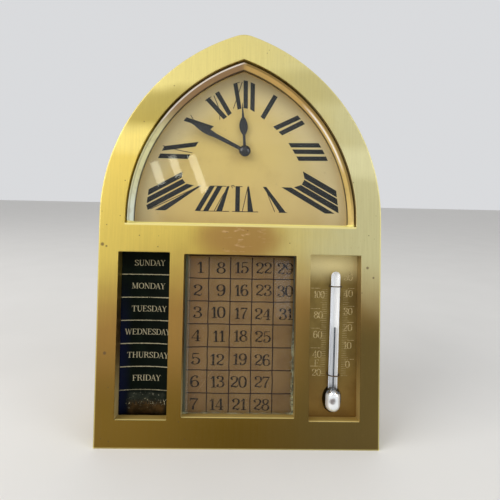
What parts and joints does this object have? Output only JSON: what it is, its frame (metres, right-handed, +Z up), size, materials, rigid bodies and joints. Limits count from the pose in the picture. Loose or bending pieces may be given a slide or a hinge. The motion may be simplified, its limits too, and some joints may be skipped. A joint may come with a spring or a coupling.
{
  "type": "desk clock with calendar",
  "caption": "Brass arched desk clock with a dial behind glass, a weekday band, a month table and a glass thermometer, leaning on a folding strut.",
  "frame": {"origin": "middle of the footprint at table level, at rest with the strut open", "axes": "+Z up, +X to the right seen from the front, -Y towards the viewer"},
  "size_m": [0.14, 0.0931, 0.203],
  "materials": {
    "satin_brass": "satin, worn",
    "dial_gold": "matt gilt",
    "clear_glass": "polished",
    "black_hands": "blued black",
    "band_cloth": "oiled cloth",
    "card_paper": "aged paper",
    "scale_brass": "matt, engraved",
    "mercury": "liquid",
    "steel": "polished",
    "movement_brass": "polished",
    "roller_wood": "turned",
    "spring_steel": "blued",
    "case_brass": "lightly oxidised"
  },
  "bodies": {
    "root": {"front_frame": "satin_brass", "dial_bezel": "satin_brass", "dial_glass": "clear_glass", "dial_spacer": "case_brass", "dial_plate": "dial_gold", "calendar_glass": "clear_glass", "calendar_card": "card_paper", "calendar_backing": "case_brass", "card_screws": "steel", "thermometer_scale": "scale_brass", "thermometer_tube": "clear_glass", "thermometer_mercury": "mercury", "thermometer_clips": "steel", "thermometer_screws": "steel", "weekday_band": "band_cloth", "roller_brackets": "case_brass", "case_band": "case_brass", "back_cover": "case_brass", "back_cover_screws": "steel", "movement_screws": "steel", "movement_front_plate": "movement_brass", "movement_back_plate": "movement_brass", "plate_pillars": "movement_brass", "pillar_screws": "steel", "minute_wheel_post": "steel", "balance_bush": "movement_brass", "click_screw": "steel", "click_spring": "spring_steel", "strut_hinge_plate": "case_brass", "strut_pin": "steel", "hinge_screws": "steel"},
    "hands_arbor": {"centre_arbor": "steel", "cannon_pinion": "movement_brass", "minute_hand": "black_hands", "hand_cap": "black_hands", "set_hands_knob": "movement_brass"},
    "minute_wheel_body": {"minute_wheel": "movement_brass"},
    "hour_hand_body": {"hour_wheel": "movement_brass", "hour_hand": "black_hands"},
    "centre_wheel_body": {"centre_wheel": "movement_brass"},
    "third_wheel_body": {"third_wheel": "movement_brass"},
    "fourth_wheel_body": {"fourth_wheel": "movement_brass"},
    "escape_wheel_body": {"escape_wheel": "movement_brass"},
    "barrel_body": {"mainspring_barrel": "movement_brass", "barrel_lid": "movement_brass", "mainspring": "spring_steel"},
    "winding_body": {"barrel_arbor": "steel", "ratchet_wheel": "steel", "winding_key": "steel"},
    "click_body": {"ratchet_click": "steel"},
    "fork_body": {"pallet_fork": "steel"},
    "balance_body": {"balance_wheel": "movement_brass", "hairspring": "spring_steel"},
    "regulator_body": {"regulator_lever": "movement_brass"},
    "strut_body": {"strut_leg": "case_brass"},
    "upper_roller_body": {"upper_roller": "roller_wood"},
    "lower_roller_body": {"lower_roller": "roller_wood", "day_thumbwheel": "movement_brass"}
  },
  "joints": [
    {"name": "hand_setting", "type": "hinge", "parent": "root", "child": "hands_arbor", "pos_m": [0.0012, -0.00089, 0.14405], "axis": [0, -0.9848, 0.1736], "continuous": true},
    {"name": "minute_wheel_spin", "type": "hinge", "parent": "root", "child": "minute_wheel_body", "pos_m": [-0.0036, 0.00055, 0.15224], "axis": [0, -0.9848, 0.1736], "continuous": true},
    {"name": "hour_hand_turn", "type": "hinge", "parent": "root", "child": "hour_hand_body", "pos_m": [0.0012, -0.00089, 0.14405], "axis": [0, -0.9848, 0.1736], "continuous": true},
    {"name": "fourth_wheel_spin", "type": "hinge", "parent": "root", "child": "fourth_wheel_body", "pos_m": [0.01542, -0.00094, 0.14376], "axis": [0, -0.9848, 0.1736], "continuous": true},
    {"name": "third_wheel_spin", "type": "hinge", "parent": "root", "child": "third_wheel_body", "pos_m": [0.01011, 0.00066, 0.15283], "axis": [0, -0.9848, 0.1736], "continuous": true},
    {"name": "centre_wheel_spin", "type": "hinge", "parent": "root", "child": "centre_wheel_body", "pos_m": [0.0012, -0.00089, 0.14405], "axis": [0, -0.9848, 0.1736], "continuous": true},
    {"name": "barrel_spin", "type": "hinge", "parent": "root", "child": "barrel_body", "pos_m": [-0.0135, -0.00089, 0.14405], "axis": [0, -0.9848, 0.1736], "continuous": true, "deforming": ["mainspring"]},
    {"name": "escape_wheel_spin", "type": "hinge", "parent": "root", "child": "escape_wheel_body", "pos_m": [0.01374, -0.0026, 0.13438], "axis": [0, -0.9848, 0.1736], "continuous": true},
    {"name": "winding", "type": "hinge", "parent": "root", "child": "winding_body", "pos_m": [-0.0135, -0.00089, 0.14405], "axis": [0, -0.9848, 0.1736], "continuous": true},
    {"name": "click_lift", "type": "hinge", "parent": "root", "child": "click_body", "pos_m": [-0.0095, 0.00031, 0.15087], "axis": [0, -0.9848, 0.1736], "range_deg": [-10, 0], "stiffness_Nm_per_rad": 0.0001, "deforming": ["click_spring"]},
    {"name": "pallet_fork_rock", "type": "hinge", "parent": "root", "child": "fork_body", "pos_m": [0.00879, -0.00324, 0.1307], "axis": [0, -0.9848, 0.1736], "range_deg": [-3, 3]},
    {"name": "balance_swing", "type": "hinge", "parent": "root", "child": "balance_body", "pos_m": [0.00208, -0.00412, 0.12572], "axis": [0, -0.9848, 0.1736], "range_deg": [-270, 270], "stiffness_Nm_per_rad": 0.000005, "deforming": ["hairspring"]},
    {"name": "regulator", "type": "hinge", "parent": "root", "child": "regulator_body", "pos_m": [0.00208, -0.00412, 0.12572], "axis": [0, -0.9848, 0.1736], "range_deg": [-25, 25]},
    {"name": "strut_fold", "type": "hinge", "parent": "root", "child": "strut_body", "pos_m": [0, 0.00902, 0.09661], "axis": [-1, 0, 0], "range_deg": [0, 28]},
    {"name": "day_thumbwheel_turn", "type": "hinge", "parent": "root", "child": "lower_roller_body", "pos_m": [-0.0475, -0.02884, 0.01433], "axis": [-1, 0, 0], "range_deg": [0, 665]},
    {"name": "upper_roller_turn", "type": "hinge", "parent": "root", "child": "upper_roller_body", "pos_m": [-0.0475, -0.01455, 0.09538], "axis": [-1, 0, 0], "range_deg": [0, 665]}
  ],
  "couplings": [
    {"joint": "minute_wheel_spin", "follows": "hand_setting", "ratio": -0.33333},
    {"joint": "hour_hand_turn", "follows": "hand_setting", "ratio": 0.083333},
    {"joint": "third_wheel_spin", "follows": "fourth_wheel_spin", "ratio": -0.13333},
    {"joint": "centre_wheel_spin", "follows": "fourth_wheel_spin", "ratio": 0.016667},
    {"joint": "barrel_spin", "follows": "fourth_wheel_spin", "ratio": -0.0027778},
    {"joint": "escape_wheel_spin", "follows": "fourth_wheel_spin", "ratio": -10},
    {"joint": "upper_roller_turn", "follows": "day_thumbwheel_turn", "ratio": 1}
  ]
}
